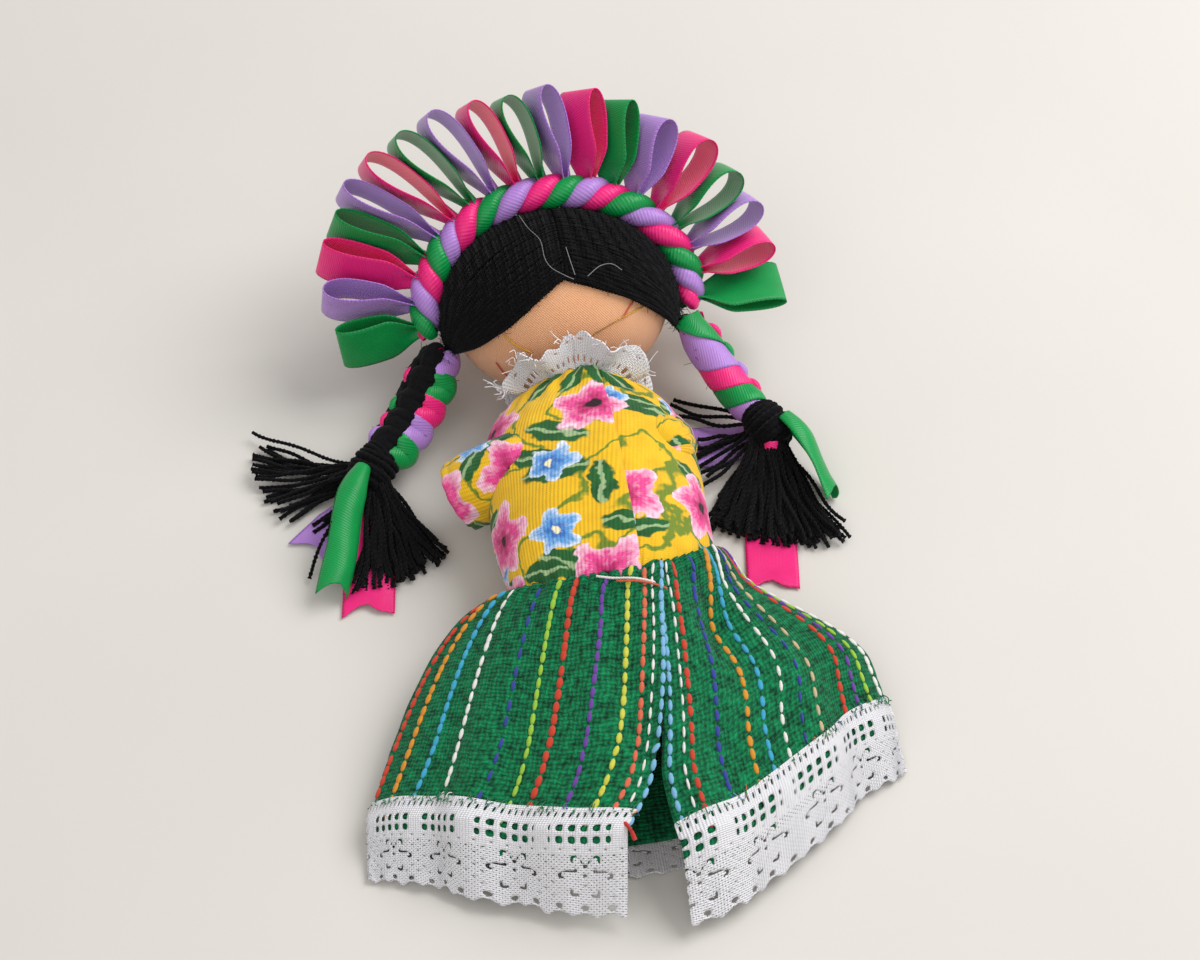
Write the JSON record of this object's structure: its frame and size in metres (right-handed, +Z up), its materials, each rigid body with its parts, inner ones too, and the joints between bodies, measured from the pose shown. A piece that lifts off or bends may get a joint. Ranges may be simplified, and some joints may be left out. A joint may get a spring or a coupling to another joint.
{
  "type": "cloth_doll",
  "caption": "Otomi cloth doll lying face down, with a satin ribbon loop crown, yarn braids with tassels, printed blouse, striped woven skirt and lace hem",
  "frame": {"origin": "centre of the flat of the belly that the doll lies on", "axes": "+Y from the skirt hem to the crown, +Z up out of the doll's back, +X to the right as seen from above"},
  "size_m": [0.1333, 0.1922, 0.0603],
  "materials": {
    "skin_cotton": "plain woven cotton, matt",
    "fibre_filling": "loose polyester fibre",
    "printed_cotton": "fine ribbed cotton with a printed floral",
    "black_yarn": "twisted acrylic yarn, matt",
    "woven_skirt": "coarse plain weave with coloured stripes, matt",
    "white_lace": "knitted lace, matt",
    "green_ribbon": "satin",
    "purple_ribbon": "satin",
    "pink_ribbon": "satin"
  },
  "bodies": {
    "torso": {"body_cloth": "skin_cotton", "body_filling": "fibre_filling", "blouse_body": "printed_cotton", "collar_lace": "white_lace", "skirt": "woven_skirt", "hem_lace": "white_lace"},
    "head": {"head_cloth": "skin_cotton", "head_filling": "fibre_filling", "left_hair": "black_yarn", "right_hair": "black_yarn", "crown_plait": "pink_ribbon", "ribbon_loop_01_green": "green_ribbon", "ribbon_loop_02_purple": "purple_ribbon", "ribbon_loop_03_pink": "pink_ribbon", "ribbon_loop_04_green": "green_ribbon", "ribbon_loop_05_purple": "purple_ribbon", "ribbon_loop_06_pink": "pink_ribbon", "ribbon_loop_07_green": "green_ribbon", "ribbon_loop_08_purple": "purple_ribbon", "ribbon_loop_09_pink": "pink_ribbon", "ribbon_loop_10_green": "green_ribbon", "ribbon_loop_11_purple": "purple_ribbon", "ribbon_loop_12_pink": "pink_ribbon", "ribbon_loop_13_green": "green_ribbon", "ribbon_loop_14_purple": "purple_ribbon", "ribbon_loop_15_pink": "pink_ribbon", "ribbon_loop_16_green": "green_ribbon", "ribbon_loop_17_purple": "purple_ribbon", "ribbon_loop_18_pink": "pink_ribbon", "ribbon_loop_19_green": "green_ribbon"},
    "left_arm": {"left_sleeve": "printed_cotton", "left_arm": "skin_cotton"},
    "left_leg": {"left_leg": "skin_cotton"},
    "left_braid": {"left_braid": "black_yarn", "left_knot": "black_yarn", "left_tassel": "black_yarn", "left_tail_green": "green_ribbon", "left_tail_purple": "purple_ribbon", "left_tail_pink": "pink_ribbon"},
    "right_arm": {"right_sleeve": "printed_cotton", "right_arm": "skin_cotton"},
    "right_leg": {"right_leg": "skin_cotton"},
    "right_braid": {"right_braid": "black_yarn", "right_knot": "black_yarn", "right_tassel": "black_yarn", "right_tail_green": "green_ribbon", "right_tail_purple": "purple_ribbon", "right_tail_pink": "pink_ribbon"}
  },
  "joints": [
    {"name": "neck_nod", "type": "hinge", "parent": "torso", "child": "head", "pos_m": [0, 0.035, 0.0186], "axis": [1, 0, 0], "range_deg": [-15, 12]},
    {"name": "left_shoulder_swing", "type": "hinge", "parent": "torso", "child": "left_arm", "pos_m": [-0.0155, 0.015, 0.0206], "axis": [1, 0, 0], "range_deg": [-15, 15]},
    {"name": "right_shoulder_swing", "type": "hinge", "parent": "torso", "child": "right_arm", "pos_m": [0.0155, 0.015, 0.0206], "axis": [1, 0, 0], "range_deg": [-15, 15]},
    {"name": "left_hip_spread", "type": "hinge", "parent": "torso", "child": "left_leg", "pos_m": [-0.0095, -0.038, 0.012], "axis": [0, 0, -1], "range_deg": [-4, 15]},
    {"name": "right_hip_spread", "type": "hinge", "parent": "torso", "child": "right_leg", "pos_m": [0.0095, -0.038, 0.012], "axis": [0, 0, 1], "range_deg": [-4, 15]},
    {"name": "left_braid_lift", "type": "hinge", "parent": "head", "child": "left_braid", "pos_m": [-0.0295, 0.05096, 0.01677], "axis": [-1, 0, 0], "range_deg": [0, 45]},
    {"name": "right_braid_lift", "type": "hinge", "parent": "head", "child": "right_braid", "pos_m": [0.0295, 0.05096, 0.01677], "axis": [-1, 0, 0], "range_deg": [0, 45]}
  ]
}
